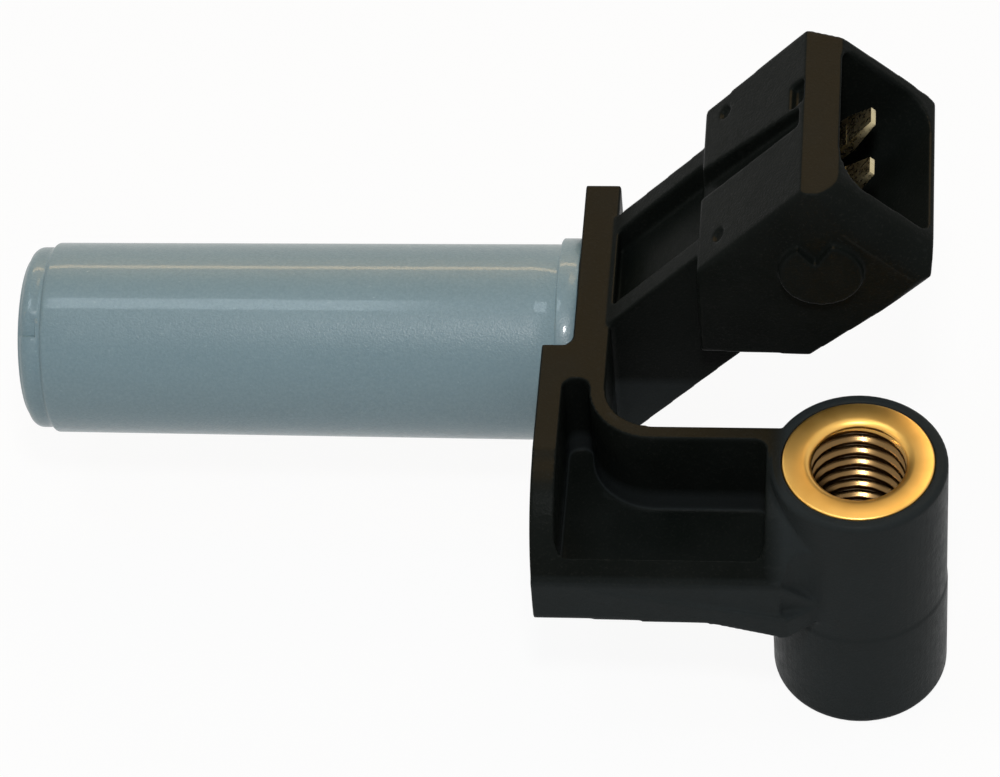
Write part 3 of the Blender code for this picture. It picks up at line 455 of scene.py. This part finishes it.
def add_tray_heel(bm):
    """The ledge's face run on to the boss: a heel whose top slopes down from the tray's end."""
    front = [
        (HEEL_START_X, TRAY_FRONT_Y, LEDGE_LEVEL),
        (HEEL_START_X, TRAY_FRONT_Y, HEEL_BOTTOM),
        (HEEL_END_X, HEEL_END_Y, HEEL_BOTTOM),
        (HEEL_END_X, HEEL_END_Y, HEEL_LOW),
        (TRAY_END_X, TRAY_FRONT_Y, LEDGE_LEVEL),
    ]
    rings = []
    for inward in (0.0, HEEL_DEPTH):
        rings.append([bm.verts.new((x * MM, (y + inward) * MM, z * MM)) for x, y, z in front])
    faces = [bm.faces.new(rings[0]), bm.faces.new(rings[1])]
    for k in range(len(front)):
        n = (k + 1) % len(front)
        faces.append(bm.faces.new((rings[0][k], rings[0][n], rings[1][n], rings[1][k])))
    bmesh.ops.recalc_face_normals(bm, faces=faces)
    bmesh.ops.triangulate(bm, faces=faces)


def moulding():
    """The black body, resurfaced finely from its solid so that every edge has a small moulded round."""
    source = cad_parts["body_moulding"]
    piece = link(bpy.data.objects.new("body", source.data.copy()))
    bm = bmesh.new()
    bm.from_mesh(piece.data)
    bmesh.ops.remove_doubles(bm, verts=bm.verts, dist=WELD * MM)
    add_tray_heel(bm)
    bm.to_mesh(piece.data)
    bm.free()
    skin = piece.modifiers.new("skin", "REMESH")
    skin.mode = "VOXEL"
    skin.voxel_size = MOULD_VOXEL * MM
    skin.use_smooth_shade = True
    soften = piece.modifiers.new("soften", "SMOOTH")
    soften.factor = 0.5
    soften.iterations = MOULD_SOFTENING
    fix_modifiers(piece)
    thin = piece.modifiers.new("thin", "DECIMATE")
    triangles = sum(len(p.vertices) - 2 for p in piece.data.polygons)
    thin.ratio = min(1.0, MOULD_TRIANGLES / triangles)
    fix_modifiers(piece)
    weigh = piece.modifiers.new("weigh", "WEIGHTED_NORMAL")
    weigh.weight = 50
    fix_modifiers(piece)
    return piece


def thread_radius(z, turn):
    """Radius of the M8 thread's wall, with its crests at the minor radius."""
    phase = (z / THREAD_PITCH - turn / (2.0 * math.pi)) % 1.0
    wave = abs(2.0 * phase - 1.0)
    flank = min(1.0, max(0.0, (wave - THREAD_CREST) / THREAD_FLANK))
    return THREAD_MINOR_RADIUS + (THREAD_MAJOR_RADIUS - THREAD_MINOR_RADIUS) * flank


def insert():
    """Brass insert with its thread, a rounded lip at each mouth and a waist hidden in the plastic."""
    rows = []

    def ring(z, radius):
        turns = [2.0 * math.pi * k / AROUND_INSERT for k in range(AROUND_INSERT)]
        rows.append([
            (BOSS_X + radius(t) * math.cos(t), BOSS_Y + radius(t) * math.sin(t), z) for t in turns
        ])

    steps = round((BOSS_TOP - BOSS_BOTTOM) / THREAD_PITCH * RINGS_PER_PITCH)
    for k in range(steps + 1):
        z = BOSS_TOP - (BOSS_TOP - BOSS_BOTTOM) * k / steps
        if min(BOSS_TOP - z, z - BOSS_BOTTOM) > INSERT_LIP:
            ring(z, lambda t, z=z: thread_radius(z, t))
            continue
        below = INSERT_LIP - min(BOSS_TOP - z, z - BOSS_BOTTOM)
        lip = THREAD_MINOR_RADIUS + INSERT_LIP - math.sqrt(max(0.0, INSERT_LIP ** 2 - below ** 2))
        share = min(1.0, below / (THREAD_FADE * INSERT_LIP))
        ring(z, lambda t, z=z, lip=lip, s=share: max(lip, thread_radius(z, t) * (1.0 - s) + lip * s))
    rim = INSERT_RIM
    outline = arc((BOSS_BOTTOM + rim, INSERT_RADIUS - rim), rim, 180.0, 90.0, 5)
    outline += [(INSERT_WAIST_LOW, INSERT_RADIUS), (INSERT_WAIST_LOW, INSERT_WAIST_RADIUS)]
    outline += [(INSERT_WAIST_HIGH, INSERT_WAIST_RADIUS), (INSERT_WAIST_HIGH, INSERT_RADIUS)]
    outline += arc((BOSS_TOP - rim, INSERT_RADIUS - rim), rim, 90.0, 0.0, 5)
    for z, radius in outline:
        ring(z, lambda t, radius=radius: radius)
    piece = mesh_piece("insert", grid(rows, True))
    piece.data.set_sharp_from_angle(angle=math.radians(75.0))
    return piece


def terminal(node):
    """A blade with its edges eased."""
    piece = link(bpy.data.objects.new(node.replace("terminal", "blade"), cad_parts[node].data.copy()))
    bm = bmesh.new()
    bm.from_mesh(piece.data)
    bmesh.ops.remove_doubles(bm, verts=bm.verts, dist=WELD * MM)
    bmesh.ops.dissolve_limit(bm, angle_limit=math.radians(1.0), verts=bm.verts, edges=bm.edges)
    bm.to_mesh(piece.data)
    bm.free()
    ease = piece.modifiers.new("ease", "BEVEL")
    ease.width = BLADE_EASE * MM
    ease.segments = 2
    ease.limit_method = "ANGLE"
    ease.angle_limit = math.radians(20.0)
    fix_modifiers(piece)
    piece.data.shade_smooth()
    piece.data.set_sharp_from_angle(angle=math.radians(35.0))
    return piece


def make_camera():
    """The photograph's viewpoint."""
    a = math.radians(CAMERA_AZIMUTH)
    e = math.radians(CAMERA_ELEVATION)
    back = Vector((math.sin(a) * math.cos(e), -math.cos(a) * math.cos(e), math.sin(e)))
    level = Vector((math.cos(a), math.sin(a), 0.0))
    raised = back.cross(level)
    r = math.radians(CAMERA_ROLL)
    right = level * math.cos(r) + raised * math.sin(r)
    up = raised * math.cos(r) - level * math.sin(r)
    data = bpy.data.cameras.new("camera")
    data.lens = CAMERA_LENS
    data.sensor_width = CAMERA_SENSOR
    data.clip_start = 0.01
    data.clip_end = 20.0
    camera = link(bpy.data.objects.new("camera", data))
    turn = Matrix((right, up, back)).transposed().to_4x4()
    camera.matrix_world = Matrix.Translation(CAMERA_EYE) @ turn
    bpy.context.scene.camera = camera


def lamp(name, place, size, watts, colour):
    """A soft lamp, placed in metres and turned to the lit point."""
    data = bpy.data.lights.new(name, "AREA")
    data.shape = "RECTANGLE"
    data.size, data.size_y = size
    data.energy = watts
    data.color = colour
    made = link(bpy.data.objects.new(name, data))
    made.location = place
    made.rotation_mode = "QUATERNION"
    made.rotation_quaternion = (LIT_POINT - Vector(place)).to_track_quat("-Z", "Y")


def seen(tree):
    """1 for rays from the camera, in reflections and through glass."""
    path = tree.nodes.new("ShaderNodeLightPath")
    total = path.outputs["Is Camera Ray"]
    for name in ("Is Glossy Ray", "Is Transmission Ray"):
        add = tree.nodes.new("ShaderNodeMath")
        add.operation = "MAXIMUM"
        tree.links.new(total, add.inputs[0])
        tree.links.new(path.outputs[name], add.inputs[1])
        total = add.outputs[0]
    return total


def make_world():
    """White to the eye and in reflections, and a weaker fill light on the object."""
    world = bpy.data.worlds.new("studio")
    world.use_nodes = True
    tree = world.node_tree
    background = tree.nodes["Background"]
    background.inputs["Color"].default_value = (1.0, 1.0, 1.0, 1.0)
    strength = tree.nodes.new("ShaderNodeMapRange")
    strength.inputs["To Min"].default_value = WORLD_FILL
    strength.inputs["To Max"].default_value = 1.0
    tree.links.new(seen(tree), strength.inputs["Value"])
    tree.links.new(strength.outputs["Result"], background.inputs["Strength"])
    bpy.context.scene.world = world


def make_floor():
    """Pale floor: white to the eye, but it still takes the object's soft shadow."""
    bm = bmesh.new()
    half = FLOOR_HALF_WIDTH
    level = BOSS_BOTTOM - FLOOR_GAP
    corners = ((-half, -half), (half, -half), (half, half), (-half, half))
    bm.faces.new([bm.verts.new((x, y, level)) for x, y in corners])
    floor = mesh_piece("floor", bm)
    material = bpy.data.materials.new("floor_white")
    material.use_nodes = True
    tree = material.node_tree
    shader = tree.nodes["Principled BSDF"]
    shader.inputs["Base Color"].default_value = (0.82, 0.82, 0.82, 1.0)
    shader.inputs["Roughness"].default_value = 0.9
    glow = tree.nodes.new("ShaderNodeEmission")
    mix = tree.nodes.new("ShaderNodeMixShader")
    share = tree.nodes.new("ShaderNodeMath")
    share.operation = "MULTIPLY"
    share.inputs[1].default_value = FLOOR_GLOW
    tree.links.new(seen(tree), share.inputs[0])
    tree.links.new(share.outputs[0], mix.inputs[0])
    tree.links.new(shader.outputs[0], mix.inputs[1])
    tree.links.new(glow.outputs[0], mix.inputs[2])
    tree.links.new(mix.outputs[0], tree.nodes["Material Output"].inputs["Surface"])
    floor.data.materials.append(material)


def make_lights():
    """A small flash above the lens, and soft warm and cool lamps round the room."""
    lamp("flash", (0.068, -0.152, 0.289), (0.035, 0.035), 0.50, WHITE)
    lamp("left", (-0.62, -0.16, 0.52), (0.10, 0.10), 0.4, WARM)
    lamp("back", (0.0, 0.66, 0.48), (0.6, 0.07), 1.5, WARM)
    lamp("back_right", (0.20, 0.35, 0.54), (0.14, 0.14), 0.38, WARM)
    lamp("above", (-0.12, 0.0, 0.60), (0.14, 0.14), 0.5, COOL)


def main():
    make_camera()
    make_world()
    make_lights()
    make_floor()
    grey = grey_plastic()
    black = black_plastic()
    brass = turned_metal(
        "brass", (0.76, 0.45, 0.12), (0.64, 0.36, 0.085), 0.36,
        centre=(BOSS_X, BOSS_Y), bore=BOSS_TOP - BORE_SHADE_DEPTH,
    )
    blade_metal = tinned()
    copper = wound_copper()
    bobbin = inner_plastic()
    iron = turned_metal("soft_iron", (0.50, 0.50, 0.51), (0.40, 0.40, 0.42), 0.3)
    magnet = turned_metal("magnet_alloy", (0.34, 0.34, 0.36), (0.27, 0.27, 0.29), 0.35)
    dress(sleeve(), grey, "grey_plastic", "barrel_sleeve")
    dress(moulding(), black, "black_plastic", "body_moulding")
    dress(insert(), brass, "brass", "threaded_insert")
    for node in ("terminal_near", "terminal_far"):
        dress(terminal(node), blade_metal, "tinned", node)
    for node, finish in (
        ("coil_bobbin", bobbin),
        ("coil_winding", copper),
        ("coil_lead_near", copper),
        ("coil_lead_far", copper),
        ("pole_pin", iron),
        ("magnet", magnet),
    ):
        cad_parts[node].data.materials.clear()
        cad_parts[node].data.materials.append(finish)
    bpy.context.scene.view_settings.view_transform = "Standard"


main()
